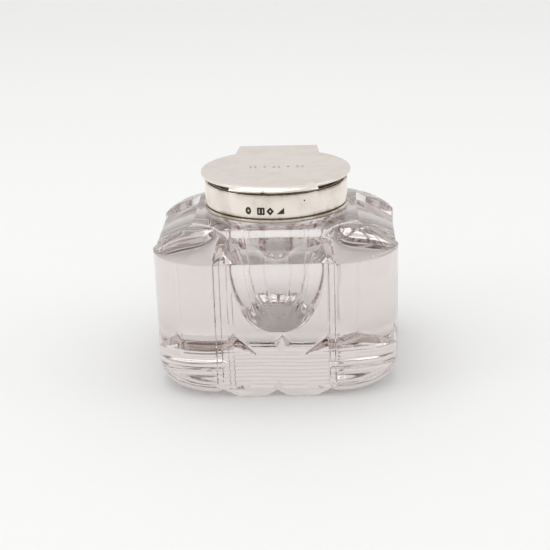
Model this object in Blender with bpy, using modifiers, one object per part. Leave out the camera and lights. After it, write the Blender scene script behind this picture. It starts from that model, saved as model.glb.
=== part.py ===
"""Silver-mounted glass inkwell: a thick cut-glass block with a round well, and a hinged silver lid.

Metres, +Z up. The origin is the middle of the foot, the front faces -Y and the hinge is at +Y.
Every length below is written in millimetres and scaled once, by MM.
"""

import math

import bmesh
import bpy

MM = 0.001
GAP = 0.3 * MM                       # clearance kept between pieces that touch

# glass block
BODY_HALF = 32.5 * MM                # half the width at the shoulder line
BODY_TAPER = 0.3 * MM                # how much narrower each side is at the foot
PANEL_HALF = 13.9 * MM               # half-width of the flat panel in each side
PANEL_RECESS = 0.6 * MM              # the panel lies this far behind the corner lobes
STRIP_WIDTH = 1.7 * MM               # slanted strip between a panel and a lobe
LOBE_FOOT_R = 6.0 * MM               # rounding under each lobe
PANEL_FOOT_HEIGHT = 2.5 * MM         # slanted foot under each panel
PANEL_FOOT_INSET = 1.2 * MM
SHOULDER_Z = 37.0 * MM
LEDGE_Z = 43.0 * MM                  # top of the ledge
PANEL_STEP = 1.9 * MM                # height of the ledge's upright face over each panel's shoulder
LOBE_STEP = 0.3 * MM                 # the same over each lobe
LEDGE_HALF = 22.0 * MM               # distance of the ledge's four flats from the axis
LEDGE_PANEL_HALF = 12.3 * MM
LEDGE_PINCH = 1.8 * MM               # how far the ledge's corner arcs are drawn in at their middle
LOBE_BULGE = 1.35 * MM               # how far a lobe's shoulder stands above its chord
BULGE_SHARPNESS = 0.5                # below 1 the swelling keeps its height close to the strips
BULGE_START = 0.75                   # below 1 the swelling is strongest in the shoulder's lower half
NECK_R = 17.7 * MM
NECK_TOP_Z = 50.8 * MM
LOBE_STEPS = 8
SHOULDER_STEPS = 5
FOOT_STEPS = 5
GLASS_CREASE = 16                    # degrees; a sharper edge is shaded as a crease

# well
MOUTH_R = 15.5 * MM
MOUTH_STEP = 0.4 * MM                # the mouth's full width goes down this far
MOUTH_TAPER = 4.0 * MM               # it has narrowed to the bore at this depth
WELL_R = 13.6 * MM
WELL_WALL_Z = 30.0 * MM              # the well is a straight bore above this height
WELL_FLOOR_Z = 11.4 * MM
WELL_FLOOR_R = 4.0 * MM
BOWL_STEPS = 6
BOWL_NARROWING = 1.15                # exponents that shape the bowl between wall and floor
BOWL_DEEPENING = 1.1
WELL_SEGMENTS = 48

# star cut under the foot
RAY_DEPTH = 2.2 * MM                 # at the rim
RAY_HALF_WIDTH = 3.0 * MM            # at the rim
RAY_START_R = 13.5 * MM
RAY_REACH = 1.6                      # the cutters' length, as a share of BODY_HALF

# silver collar
BAND_R = 19.4 * MM
BAND_WALL = 0.8 * MM
BAND_TOP_Z = 51.7 * MM
BAND_BOTTOM_Z = 45.35 * MM
BEAD_R = 19.8 * MM
BEAD_TOP_Z = 45.05 * MM
BEAD_BOTTOM_Z = 44.1 * MM
BEAD_STEPS = 6
RIM_ROUND = 0.3 * MM                 # rounding of the band's top edge, outside
RIM_FLAT = 0.1 * MM                  # its chamfer inside
SEAT_INNER_R = 15.0 * MM
SEAT_THICKNESS = 0.6 * MM
SEAT_CHAMFER = 0.2 * MM
CEMENT_BOTTOM_Z = 44.4 * MM
CEMENT_TOP_GAP = 0.2 * MM            # the plaster stops this far below the neck's top
RING_SEGMENTS = 64

# lid
LID_R = 20.35 * MM
LID_TOP_Z = 53.95 * MM
LID_THICKNESS = 0.8 * MM
LID_EDGE_ROUND = 0.25 * MM
LIP_HALF = 11.3 * MM                 # half-width of the thumb lip
LIP_OUT = 0.8 * MM                   # how far the lip stands out from the disc
LIP_DROP = 1.0 * MM                  # how far its edge is bent down
LIP_BEND = 1.2 * MM                  # the bend starts this far inside the disc's edge
LIP_CURL = 1.5                       # exponent of the bend
LIP_STEP = 1.0                       # degrees over which the lip's ends step back to the disc
TOP_INSETS = (14.0 * MM, 3.0 * MM, LIP_BEND, LID_EDGE_ROUND)
LID_STEP = 6                         # degrees between the points of the plate's outline
LID_SPACING = 2.0                    # degrees kept free round each corner of the outline
LID_CREASE = 40
TAB_HALF = 11.2 * MM                 # half-width of the tab over the hinge
TAB_ROOT_HALF = 11.9 * MM
TAB_BACK_Y = 25.5 * MM
BEZEL_R = 18.6 * MM
BEZEL_INNER_R = 16.6 * MM
BEZEL_BOTTOM_Z = 52.0 * MM
BEZEL_CHAMFER = 0.15 * MM
DROP_RING_R = 14.5 * MM
DROP_RING_WALL = 0.6 * MM
DROP_RING_BOTTOM_Z = 49.8 * MM
DROP_RING_CHAMFER = 0.2 * MM

# hinge
HINGE_Y = 24.2 * MM
HINGE_Z = 51.6 * MM
KNUCKLE_R = 1.25 * MM
KNUCKLE_BORE_R = 0.62 * MM
KNUCKLE_LENGTH = 4.1 * MM
KNUCKLE_CHAMFER = 0.15 * MM
KNUCKLE_SEGMENTS = 24
KNUCKLE_COUNT = 5
PIN_R = 0.5 * MM
PIN_OVERHANG = 0.35 * MM             # the pin's riveted ends stand out this far
PIN_ROUND = 0.15 * MM
PIN_SEGMENTS = 20
BRACKET_HALF = 10.7 * MM
BRACKET_BACK_Y = 24.6 * MM
BRACKET_BOTTOM_Z = 46.2 * MM
BRACKET_LIP = 1.1 * MM               # height of the bracket's upright back edge
BRACKET_SWEEP_STEPS = 6
BRACKET_INSIDE_Y = 15.0 * MM         # its section runs in to here before the band's round is cut
ROUND_CUT_TOP_Z = 60.0 * MM
ROUND_CUT_BOTTOM_Z = 40.0 * MM

SILVER = (0.80, 0.77, 0.72)
SILVER_ROUGHNESS = 0.22
SILVER_SHADE = (0.62, 0.58, 0.53)
SHADE_ROUGHNESS = 0.4
GLASS = (0.86, 0.80, 0.82)
GLASS_ROUGHNESS = 0.02
PLASTER = (0.78, 0.74, 0.66)
PLASTER_ROUGHNESS = 0.9

MERGE = 0.01 * MM
SILVER_CREASE = 35
CUTTER_OVERSHOOT = 2.0 * MM          # cutters reach this far past the faces they cut


# ------------------------------------------------------------------ scene and objects

def clear_scene():
    for obj in list(bpy.data.objects):
        bpy.data.objects.remove(obj, do_unlink=True)


def new_collection(name):
    collection = bpy.data.collections.new(name)
    bpy.context.scene.collection.children.link(collection)
    return collection


def new_material(name, colour, roughness, metallic, transmission=0.0):
    material = bpy.data.materials.new(name)
    material.use_nodes = True
    shader = material.node_tree.nodes["Principled BSDF"]
    shader.inputs["Base Color"].default_value = (*colour, 1.0)
    shader.inputs["Roughness"].default_value = roughness
    shader.inputs["Metallic"].default_value = metallic
    shader.inputs["Transmission Weight"].default_value = transmission
    return material


def add_object(name, mesh, collection, material=None, location=(0, 0, 0)):
    obj = bpy.data.objects.new(name, mesh)
    obj.location = location
    collection.objects.link(obj)
    if material:
        mesh.materials.append(material)
    return obj


def as_cutter(obj):
    obj.hide_render = True
    obj.display_type = "WIRE"
    return obj


def smooth(obj, degrees=SILVER_CREASE):
    obj.data.shade_smooth()
    obj.data.set_sharp_from_angle(angle=math.radians(degrees))


def hang_on(obj, axis_empty):
    """Parent a moving piece to the hinge's empty without moving it."""
    obj.parent = axis_empty
    obj.location = (
        obj.location.x - axis_empty.location.x,
        obj.location.y - axis_empty.location.y,
        obj.location.z - axis_empty.location.z,
    )


def subtract(obj, cutter):
    modifier = obj.modifiers.new("cut_" + cutter.name, "BOOLEAN")
    modifier.operation = "DIFFERENCE"
    modifier.object = cutter


# ------------------------------------------------------------------ shapes

def arc(centre, radius, start_deg, end_deg, steps):
    """Points along a circle's arc, both ends included."""
    points = []
    for i in range(steps + 1):
        angle = math.radians(start_deg + (end_deg - start_deg) * i / steps)
        points.append((centre[0] + radius * math.cos(angle), centre[1] + radius * math.sin(angle)))
    return points


def mix(a, b, t):
    return a + (b - a) * t


def loft(name, rings):
    """One closed mesh through rings of equal point count, with a flat face at each end."""
    bm = bmesh.new()
    rows = [[bm.verts.new(point) for point in ring] for ring in rings]
    count = len(rows[0])
    for low, high in zip(rows, rows[1:]):
        for i in range(count):
            j = (i + 1) % count
            bm.faces.new((low[i], low[j], high[j], high[i]))
    bm.faces.new(list(reversed(rows[0])))
    bm.faces.new(rows[-1])
    bmesh.ops.recalc_face_normals(bm, faces=bm.faces)
    mesh = bpy.data.meshes.new(name)
    bm.to_mesh(mesh)
    bm.free()
    return mesh


def turned(name, profile, collection, material=None, closed=True, segments=RING_SEGMENTS):
    """Turn a profile of (radius, height) points about Z. It runs down its outer side."""
    mesh = bpy.data.meshes.new(name)
    edges = [(i, i + 1) for i in range(len(profile) - 1)]
    if closed:
        edges.append((len(profile) - 1, 0))
    mesh.from_pydata([(r, 0.0, z) for r, z in profile], edges, [])
    obj = add_object(name, mesh, collection, material)
    screw = obj.modifiers.new("turn", "SCREW")
    screw.axis = "Z"
    screw.angle = math.tau
    screw.steps = segments
    screw.render_steps = segments
    screw.use_merge_vertices = True
    screw.merge_threshold = MERGE
    screw.use_smooth_shade = True
    return obj


# ------------------------------------------------------------------ glass block

def side_turn(point, side):
    """Turn a front-side plan point round to side 0 to 3."""
    x, y = point
    for _ in range(side):
        x, y = -y, x
    return x, y


def lobe_foot_section(z):
    """How far the lobe's foot rounding pulls its outline in at height z."""
    if z >= LOBE_FOOT_R:
        return 0.0
    return LOBE_FOOT_R - math.sqrt(LOBE_FOOT_R ** 2 - (LOBE_FOOT_R - z) ** 2)


def wall_ring(z):
    """Plan outline of the upright walls: four recessed panels and four quarter-round lobes."""
    half = BODY_HALF - BODY_TAPER * (1.0 - z / SHOULDER_Z)
    lobe_centre = PANEL_HALF + STRIP_WIDTH
    lobe_r = half - lobe_centre - lobe_foot_section(z)
    foot_inset = PANEL_FOOT_INSET * max(0.0, 1.0 - z / PANEL_FOOT_HEIGHT)
    panel_y = -(half - PANEL_RECESS - foot_inset)
    ring = []
    for side in range(4):
        outline = [(-PANEL_HALF, panel_y), (0.0, panel_y), (PANEL_HALF, panel_y)]
        outline += arc((lobe_centre, -lobe_centre), lobe_r, -90, 0, LOBE_STEPS)
        ring += [(*side_turn(point, side), z) for point in outline]
    return ring


def ledge_ring(panel_drop, lobe_drop):
    """Outline of the ledge at the foot of the neck: four flats joined by drawn-in arcs.

    panel_drop and lobe_drop say how far the flats and the arcs lie below the ledge's top.
    """
    corner_x = LEDGE_PANEL_HALF + STRIP_WIDTH
    corner_r = math.hypot(corner_x, LEDGE_HALF)
    start = -math.degrees(math.atan2(LEDGE_HALF, corner_x))
    ring = []
    for side in range(4):
        for x in (-LEDGE_PANEL_HALF, 0.0, LEDGE_PANEL_HALF):
            ring.append((*side_turn((x, -LEDGE_HALF), side), LEDGE_Z - panel_drop))
        for step in range(LOBE_STEPS + 1):
            angle = math.radians(mix(start, -90 - start, step / LOBE_STEPS))
            r = corner_r - LEDGE_PINCH * math.sin(math.pi * step / LOBE_STEPS)
            point = (r * math.cos(angle), r * math.sin(angle))
            ring.append((*side_turn(point, side), LEDGE_Z - lobe_drop))
    return ring


def shoulder_ring(t):
    """Outline at fraction t of the way up the shoulder, with each lobe's middle swelling out."""
    low = wall_ring(SHOULDER_Z)
    high = ledge_ring(PANEL_STEP, LOBE_STEP)
    side_points = 3 + LOBE_STEPS + 1
    ring = []
    for i, (a, b) in enumerate(zip(low, high)):
        step = i % side_points - 3
        swell = 0.0
        if 0 < step < LOBE_STEPS:
            swell = math.sin(math.pi * step / LOBE_STEPS) ** BULGE_SHARPNESS
        z = mix(a[2], b[2], t) + LOBE_BULGE * math.sin(math.pi * t ** BULGE_START) * swell
        ring.append((mix(a[0], b[0], t), mix(a[1], b[1], t), z))
    return ring


def neck_ring(z):
    """Round outline of the neck, with one point for each point of the ledge."""
    ring = []
    for x, y, _ in ledge_ring(0.0, 0.0):
        radius = math.hypot(x, y)
        ring.append((x / radius * NECK_R, y / radius * NECK_R, z))
    return ring


def well_cutter(collection):
    """The round well: a straight bore, then a bowl that narrows to a small flat floor."""
    bowl = []
    for i in range(BOWL_STEPS):
        angle = math.radians(90 * i / BOWL_STEPS)
        r = mix(WELL_FLOOR_R, WELL_R, math.cos(angle) ** BOWL_NARROWING)
        z = mix(WELL_WALL_Z, WELL_FLOOR_Z, math.sin(angle) ** BOWL_DEEPENING)
        bowl.append((r, z))
    top = NECK_TOP_Z + CUTTER_OVERSHOOT
    profile = [(0.0, top), (MOUTH_R, top), (MOUTH_R, NECK_TOP_Z - MOUTH_STEP)]
    profile += [(WELL_R, NECK_TOP_Z - MOUTH_TAPER)] + bowl
    profile += [(WELL_FLOOR_R, WELL_FLOOR_Z), (0.0, WELL_FLOOR_Z)]
    return as_cutter(turned("well_cutter", profile, collection, closed=False, segments=WELL_SEGMENTS))


def star_cutter(collection):
    """Radial V grooves under the foot, deepest at the rim: one slanted bar for each ray.

    Each side has a ray under the middle of its panel and one under each of its two strips.
    """
    strip_ray = math.degrees(math.atan2(PANEL_HALF + STRIP_WIDTH / 2, BODY_HALF))
    rays = []
    for side in range(4):
        rays += [90 * side, 90 * side + strip_ray, 90 * side - strip_ray]
    bm = bmesh.new()
    reach = BODY_HALF * RAY_REACH
    slope = RAY_DEPTH / (BODY_HALF - RAY_START_R)
    spread = RAY_HALF_WIDTH / (BODY_HALF - RAY_START_R)
    for ray in rays:
        made = bmesh.ops.create_cone(bm, cap_ends=True, segments=4, radius1=0.0, radius2=1.0, depth=1.0)
        for vert in made["verts"]:
            along = (vert.co.z + 0.5) * reach
            across = vert.co.x * spread * reach
            up = vert.co.y * slope * reach
            angle = math.radians(ray)
            r = RAY_START_R + along
            vert.co = (
                r * math.cos(angle) - across * math.sin(angle),
                r * math.sin(angle) + across * math.cos(angle),
                up,
            )
    bmesh.ops.recalc_face_normals(bm, faces=bm.faces)
    mesh = bpy.data.meshes.new("star_cutter")
    bm.to_mesh(mesh)
    bm.free()
    return as_cutter(add_object("star_cutter", mesh, collection))


def glass_body(parts, cutters, material):
    rings = []
    for i in range(FOOT_STEPS + 1):
        rings.append(wall_ring(LOBE_FOOT_R * (1.0 - math.cos(math.radians(90 * i / FOOT_STEPS)))))
    for i in range(SHOULDER_STEPS + 1):
        rings.append(shoulder_ring(i / SHOULDER_STEPS))
    rings.append(ledge_ring(0.0, 0.0))
    rings.append(neck_ring(LEDGE_Z))
    rings.append(neck_ring(NECK_TOP_Z))
    obj = add_object("glass_body", loft("glass_body", rings), parts, material)
    smooth(obj, GLASS_CREASE)
    subtract(obj, well_cutter(cutters))
    subtract(obj, star_cutter(cutters))
    return obj


# ------------------------------------------------------------------ collar

def neck_cement(parts, material):
    outer = BAND_R - BAND_WALL - GAP
    inner = NECK_R + GAP
    top = NECK_TOP_Z - CEMENT_TOP_GAP
    profile = [(outer, top), (outer, CEMENT_BOTTOM_Z), (inner, CEMENT_BOTTOM_Z), (inner, top)]
    return turned("neck_cement", profile, parts, material)


def collar_band(parts, material):
    inner = BAND_R - BAND_WALL
    profile = arc((BAND_R - RIM_ROUND, BAND_TOP_Z - RIM_ROUND), RIM_ROUND, 90, 0, 2)
    profile += [(BAND_R, BAND_BOTTOM_Z), (inner, BAND_BOTTOM_Z)]
    profile += [(inner, BAND_TOP_Z - RIM_FLAT), (inner + RIM_FLAT, BAND_TOP_Z)]
    return turned("collar_band", profile, parts, material)


def collar_foot_bead(parts, material):
    half_height = (BEAD_TOP_Z - BEAD_BOTTOM_Z) / 2
    centre_r = BEAD_R - half_height
    inner = BAND_R - BAND_WALL
    profile = [(inner, BEAD_TOP_Z)]
    profile += arc((centre_r, BEAD_BOTTOM_Z + half_height), half_height, 90, -90, BEAD_STEPS)
    profile += [(inner, BEAD_BOTTOM_Z)]
    return turned("collar_foot_bead", profile, parts, material)


def collar_seat_ring(parts, material):
    outer = BAND_R - BAND_WALL - GAP
    bottom = BAND_TOP_Z - SEAT_THICKNESS
    profile = [(outer, BAND_TOP_Z), (outer, bottom), (SEAT_INNER_R, bottom)]
    profile += [(SEAT_INNER_R, BAND_TOP_Z - SEAT_CHAMFER), (SEAT_INNER_R + SEAT_CHAMFER, BAND_TOP_Z)]
    return turned("collar_seat_ring", profile, parts, material)


def hinge_bracket(parts, cutters, material):
    """A wedge behind the band that carries the collar's knuckles."""
    top = HINGE_Z - KNUCKLE_R - GAP
    sweep_r = top - BRACKET_LIP - BRACKET_BOTTOM_Z
    sweep = arc((BRACKET_BACK_Y, BRACKET_BOTTOM_Z), sweep_r, 90, 180, BRACKET_SWEEP_STEPS)
    section = [(BRACKET_INSIDE_Y, top), (BRACKET_BACK_Y, top)] + sweep
    section.append((BRACKET_INSIDE_Y, BRACKET_BOTTOM_Z))
    rings = [[(x, y, z) for y, z in section] for x in (-BRACKET_HALF, BRACKET_HALF)]
    obj = add_object("hinge_bracket", loft("hinge_bracket", rings), parts, material)
    clear_r = BAND_R + GAP
    profile = [(0.0, ROUND_CUT_TOP_Z), (clear_r, ROUND_CUT_TOP_Z)]
    profile += [(clear_r, ROUND_CUT_BOTTOM_Z), (0.0, ROUND_CUT_BOTTOM_Z)]
    cutter = turned("band_clearance_cutter", profile, cutters, closed=False)
    subtract(obj, as_cutter(cutter))
    return obj


# ------------------------------------------------------------------ hinge

def knuckle_start(index):
    """X where the knuckle of this index starts, from the -X end of the hinge."""
    total = KNUCKLE_COUNT * KNUCKLE_LENGTH + (KNUCKLE_COUNT - 1) * GAP
    return -total / 2 + index * (KNUCKLE_LENGTH + GAP)


def knuckle(name, index, parts, material):
    edge = KNUCKLE_CHAMFER
    profile = [(KNUCKLE_BORE_R, KNUCKLE_LENGTH), (KNUCKLE_R - edge, KNUCKLE_LENGTH)]
    profile += [(KNUCKLE_R, KNUCKLE_LENGTH - edge), (KNUCKLE_R, edge), (KNUCKLE_R - edge, 0.0)]
    profile += [(KNUCKLE_BORE_R, 0.0)]
    obj = turned(name, profile, parts, material, segments=KNUCKLE_SEGMENTS)
    obj.rotation_euler = (0.0, math.pi / 2, 0.0)
    obj.location = (knuckle_start(index), HINGE_Y, HINGE_Z)
    return obj


def hinge_pin(parts, material):
    length = 2 * (PIN_OVERHANG - knuckle_start(0))
    bm = bmesh.new()
    sizes = {"segments": PIN_SEGMENTS, "radius1": PIN_R, "radius2": PIN_R, "depth": length}
    bmesh.ops.create_cone(bm, cap_ends=True, **sizes)
    mesh = bpy.data.meshes.new("hinge_pin")
    bm.to_mesh(mesh)
    bm.free()
    obj = add_object("hinge_pin", mesh, parts, material, (0.0, HINGE_Y, HINGE_Z))
    obj.rotation_euler = (0.0, math.pi / 2, 0.0)
    bevel = obj.modifiers.new("riveted_ends", "BEVEL")
    bevel.width = PIN_ROUND
    bevel.segments = 2
    bevel.limit_method = "ANGLE"
    smooth(obj)
    return obj


# ------------------------------------------------------------------ lid

def lid_angles():
    """Degrees round the lid, with one at each side of every step and corner of its outline."""
    lip = math.degrees(math.asin(LIP_HALF / LID_R))
    root = math.degrees(math.acos(TAB_ROOT_HALF / LID_R))
    corner = math.degrees(math.atan2(TAB_BACK_Y, TAB_HALF))
    corners = [-90 - lip - LIP_STEP, -90 - lip, -90 + lip, -90 + lip + LIP_STEP]
    corners += [root, corner, 180 - corner, 180 - root]
    even = range(-120, 240, LID_STEP)
    kept = [a for a in even if min(abs(a - c) for c in corners) > LID_SPACING]
    return sorted(kept + corners)


def lid_edge_radius(degrees):
    """Distance from the axis to the lid's edge: disc, thumb lip in front, hinge tab behind."""
    radians = math.radians(degrees)
    x = math.cos(radians)
    y = math.sin(radians)
    if y < 0 and abs(x) * LID_R <= LIP_HALF + MERGE:
        return LID_R + LIP_OUT
    if y > 0 and abs(x) * LID_R < TAB_ROOT_HALF - MERGE:
        to_back = TAB_BACK_Y / y
        lean = (TAB_ROOT_HALF - TAB_HALF) / (TAB_BACK_Y - math.sqrt(LID_R ** 2 - TAB_ROOT_HALF ** 2))
        side_at_axis = TAB_HALF + lean * TAB_BACK_Y
        to_side = side_at_axis / (abs(x) + lean * y)
        return min(to_back, to_side)
    return LID_R


def lid_drop(degrees, radius):
    """How far the thumb lip is bent down at this place."""
    radians = math.radians(degrees)
    if math.sin(radians) > 0 or abs(math.cos(radians)) * LID_R > LIP_HALF + MERGE:
        return 0.0
    bend_start = LID_R - LIP_BEND
    t = max(0.0, (radius - bend_start) / (LIP_BEND + LIP_OUT))
    return LIP_DROP * t ** LIP_CURL


def lid_plate(parts, material):
    """The lid's plate, as rings from its middle out over the top, round the edge and back under."""
    bottom_z = LID_TOP_Z - LID_THICKNESS
    levels = [(inset, LID_TOP_Z) for inset in TOP_INSETS]
    levels.append((0.0, LID_TOP_Z - LID_EDGE_ROUND))
    levels.append((0.0, bottom_z + LID_EDGE_ROUND / 2))
    levels += [(inset, bottom_z) for inset in reversed(TOP_INSETS)]
    rings = []
    for inset, z in levels:
        ring = []
        for degrees in lid_angles():
            radius = lid_edge_radius(degrees) - inset
            height = z - lid_drop(degrees, radius)
            angle = math.radians(degrees)
            ring.append((radius * math.cos(angle), radius * math.sin(angle), height))
        rings.append(ring)
    obj = add_object("lid_plate", loft("lid_plate", rings), parts, material)
    smooth(obj, LID_CREASE)
    return obj


def lid_bezel(parts, material):
    top = LID_TOP_Z - LID_THICKNESS - GAP
    profile = [(BEZEL_R, top), (BEZEL_R, BEZEL_BOTTOM_Z + BEZEL_CHAMFER)]
    profile.append((BEZEL_R - BEZEL_CHAMFER, BEZEL_BOTTOM_Z))
    profile += [(BEZEL_INNER_R, BEZEL_BOTTOM_Z), (BEZEL_INNER_R, top)]
    return turned("lid_bezel", profile, parts, material)


def lid_drop_ring(parts, material):
    top = LID_TOP_Z - LID_THICKNESS - GAP
    inner = DROP_RING_R - DROP_RING_WALL
    profile = [(DROP_RING_R, top), (DROP_RING_R, DROP_RING_BOTTOM_Z + DROP_RING_CHAMFER)]
    profile.append((DROP_RING_R - DROP_RING_CHAMFER, DROP_RING_BOTTOM_Z))
    profile += [(inner, DROP_RING_BOTTOM_Z), (inner, top)]
    return turned("lid_drop_ring", profile, parts, material)


# ------------------------------------------------------------------ assembly

def main():
    clear_scene()
    parts = new_collection("inkwell")
    cutters = new_collection("inkwell_cutters")
    glass = new_material("cut_glass", GLASS, GLASS_ROUGHNESS, metallic=0.0, transmission=1.0)
    silver = new_material("silver", SILVER, SILVER_ROUGHNESS, metallic=1.0)
    dull_silver = new_material("silver_inside", SILVER_SHADE, SHADE_ROUGHNESS, metallic=1.0)
    plaster = new_material("plaster", PLASTER, PLASTER_ROUGHNESS, metallic=0.0)

    glass_body(parts, cutters, glass)
    neck_cement(parts, plaster)
    collar_band(parts, silver)
    collar_foot_bead(parts, silver)
    collar_seat_ring(parts, dull_silver)
    hinge_bracket(parts, cutters, silver)
    hinge_pin(parts, silver)
    for number, index in enumerate((0, 2, 4), start=1):
        knuckle(f"collar_knuckle_{number}", index, parts, silver)

    hinge_axis = bpy.data.objects.new("lid_hinge_axis", None)
    hinge_axis.location = (0.0, HINGE_Y, HINGE_Z)
    parts.objects.link(hinge_axis)
    lid_pieces = [lid_plate(parts, silver), lid_bezel(parts, dull_silver), lid_drop_ring(parts, dull_silver)]
    for number, index in enumerate((1, 3), start=1):
        lid_pieces.append(knuckle(f"lid_knuckle_{number}", index, parts, silver))
    for piece in lid_pieces:
        hang_on(piece, hinge_axis)


main()
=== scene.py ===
"""Looks of a silver-mounted cut-glass inkwell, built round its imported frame.

The glass block, the collar, the hinge and the lid are each a class. A class takes its place from the
frame's boxes, builds its fine meshes and dresses them. Lengths are in metres, written in millimetres.
"""

import logging
import math
from dataclasses import dataclass, field
from enum import Enum

import bmesh
import bpy
import numpy as np
from mathutils import Matrix, Vector, noise


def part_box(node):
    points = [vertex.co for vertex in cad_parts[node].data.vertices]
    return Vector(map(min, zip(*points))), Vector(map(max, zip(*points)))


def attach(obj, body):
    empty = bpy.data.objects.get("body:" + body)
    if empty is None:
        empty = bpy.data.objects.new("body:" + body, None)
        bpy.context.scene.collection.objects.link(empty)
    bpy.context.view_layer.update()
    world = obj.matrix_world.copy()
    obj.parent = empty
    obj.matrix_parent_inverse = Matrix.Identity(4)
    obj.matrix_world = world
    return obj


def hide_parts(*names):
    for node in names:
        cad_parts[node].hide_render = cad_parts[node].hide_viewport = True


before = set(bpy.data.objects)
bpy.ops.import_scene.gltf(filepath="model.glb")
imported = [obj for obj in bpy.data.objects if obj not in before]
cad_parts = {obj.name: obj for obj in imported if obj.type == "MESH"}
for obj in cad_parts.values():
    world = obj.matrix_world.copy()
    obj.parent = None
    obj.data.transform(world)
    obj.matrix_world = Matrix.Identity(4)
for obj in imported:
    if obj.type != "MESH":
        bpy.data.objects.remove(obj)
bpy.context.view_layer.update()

MM = 0.001
LOG = logging.getLogger("inkwell")


class Body(Enum):
    """The two bodies of the frame."""

    BASE = "base"
    LID = "lid"


class Slot(Enum):
    """The record's material slots."""

    GLASS = "glass"
    SILVER = "silver"
    SILVER_INSIDE = "silver_inside"
    PLASTER = "plaster"


# ------------------------------------------------------------------ meshes

def ring_mesh(name: str, rings: list[np.ndarray], wrap: bool = False,
              flat_ends: bool = False) -> bpy.types.Mesh:
    """One closed mesh through rings of equal point count.

    Args:
        name: the mesh's name.
        rings: arrays of shape (count, 3), in order along the surface.
        wrap: True joins the last ring to the first; False closes both ends.
        flat_ends: True closes each end with a single face, False with a fan.

    Returns:
        The mesh, shaded smooth, with its faces pointing out.
    """
    bm = bmesh.new()
    rows = [[bm.verts.new(point) for point in ring] for ring in rings]
    count = len(rows[0])
    pairs = list(zip(rows, rows[1:]))
    if wrap:
        pairs.append((rows[-1], rows[0]))
    for low, high in pairs:
        for i in range(count):
            j = (i + 1) % count
            bm.faces.new((low[i], low[j], high[j], high[i]))
    if flat_ends:
        bm.faces.new(rows[0])
        bm.faces.new(rows[-1])
    elif not wrap:
        for row, ring in ((rows[0], rings[0]), (rows[-1], rings[-1])):
            middle = bm.verts.new(np.mean(ring, axis=0))
            for i in range(count):
                bm.faces.new((middle, row[i], row[(i + 1) % count]))
    bmesh.ops.recalc_face_normals(bm, faces=bm.faces)
    for face in bm.faces:
        face.smooth = True
    mesh = bpy.data.meshes.new(name)
    bm.to_mesh(mesh)
    bm.free()
    return mesh


def turned_rings(profile: list[tuple[float, float]], segments: int) -> list[np.ndarray]:
    """Rings about Z for a closed profile of (radius, height) points."""
    angles = np.linspace(0.0, math.tau, segments, endpoint=False)
    rings = []
    for radius, height in profile:
        ring = np.column_stack((radius * np.cos(angles), radius * np.sin(angles), np.full(segments, height)))
        rings.append(ring)
    return rings


def arc(centre: tuple[float, float], radius: float, start: float, end: float,
        steps: int) -> list[tuple[float, float]]:
    """Points along a circle's arc, both ends included.

    Args:
        centre: the circle's centre.
        radius: its radius.
        start: first angle in degrees.
        end: last angle in degrees.
        steps: how many chords.

    Returns:
        A list of points.
    """
    turns = np.radians(np.linspace(start, end, steps + 1))
    return [(centre[0] + radius * math.cos(a), centre[1] + radius * math.sin(a)) for a in turns]


def rounded(points: list[tuple[float, float]], radius: float, steps: int = 4) -> list[tuple[float, float]]:
    """A closed outline with each corner rounded off.

    Args:
        points: the outline's sharp corners, in order.
        radius: how far from a corner its rounding starts, at most.
        steps: how many chords a corner gets.

    Returns:
        The rounded outline.
    """
    count = len(points)
    result = []
    for i in range(count):
        before = Vector(points[i - 1])
        corner = Vector(points[i])
        after = Vector(points[(i + 1) % count])
        reach = min(radius, (before - corner).length * 0.45, (after - corner).length * 0.45)
        start = corner + (before - corner).normalized() * reach
        end = corner + (after - corner).normalized() * reach
        for step in range(steps + 1):
            t = step / steps
            point = start * (1 - t) ** 2 + corner * 2 * t * (1 - t) + end * t ** 2
            result.append((point.x, point.y))
    return result


def prism(name: str, outline: list[tuple[float, float]], low: float, high: float) -> bpy.types.Mesh:
    """A flat outline in XY, raised from one height to another."""
    rings = [np.array([(x, y, z) for x, y in outline]) for z in (low, high)]
    return ring_mesh(name, rings, flat_ends=True)


def add_piece(name: str, mesh: bpy.types.Mesh, material: bpy.types.Material) -> bpy.types.Object:
    """A new object of this mesh and material in the scene."""
    mesh.materials.clear()
    mesh.materials.append(material)
    obj = bpy.data.objects.new(name, mesh)
    bpy.context.scene.collection.objects.link(obj)
    return obj


def soften_edges(obj: bpy.types.Object, width: float, degrees: float, segments: int = 2) -> None:
    """Round the edges that are sharper than this angle."""
    bevel = obj.modifiers.new("soft_edges", "BEVEL")
    bevel.width = width
    bevel.segments = segments
    bevel.limit_method = "ANGLE"
    bevel.angle_limit = math.radians(degrees)
    bevel.harden_normals = False


def apply_modifiers(obj: bpy.types.Object) -> None:
    """Replace an object's mesh by what its modifiers make of it."""
    graph = bpy.context.evaluated_depsgraph_get()
    made = bpy.data.meshes.new_from_object(obj.evaluated_get(graph), depsgraph=graph)
    old = obj.data
    obj.modifiers.clear()
    obj.data = made
    bpy.data.meshes.remove(old)


def carve(obj: bpy.types.Object, cutters: list[bpy.types.Object]) -> None:
    """Cut each of these shapes out of a piece, then remove the shapes.

    Args:
        obj: the piece that is cut.
        cutters: closed shapes; their material stays on the cut's faces.
    """
    for cutter in cutters:
        modifier = obj.modifiers.new("carve", "BOOLEAN")
        modifier.operation = "DIFFERENCE"
        modifier.solver = "EXACT"
        modifier.material_mode = "TRANSFER"
        modifier.object = cutter
    apply_modifiers(obj)
    for cutter in cutters:
        bpy.data.objects.remove(cutter, do_unlink=True)


def place(obj: bpy.types.Object, body: Body, slot: Slot, *nodes: str) -> bpy.types.Object:
    """Put a piece on its body and hide the frame's nodes that it stands for."""
    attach(obj, body.value)
    if nodes:
        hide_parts(*nodes)
    LOG.info("%s rides on %s", obj.name, body.value)
    return obj


# ------------------------------------------------------------------ shader parts

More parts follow.
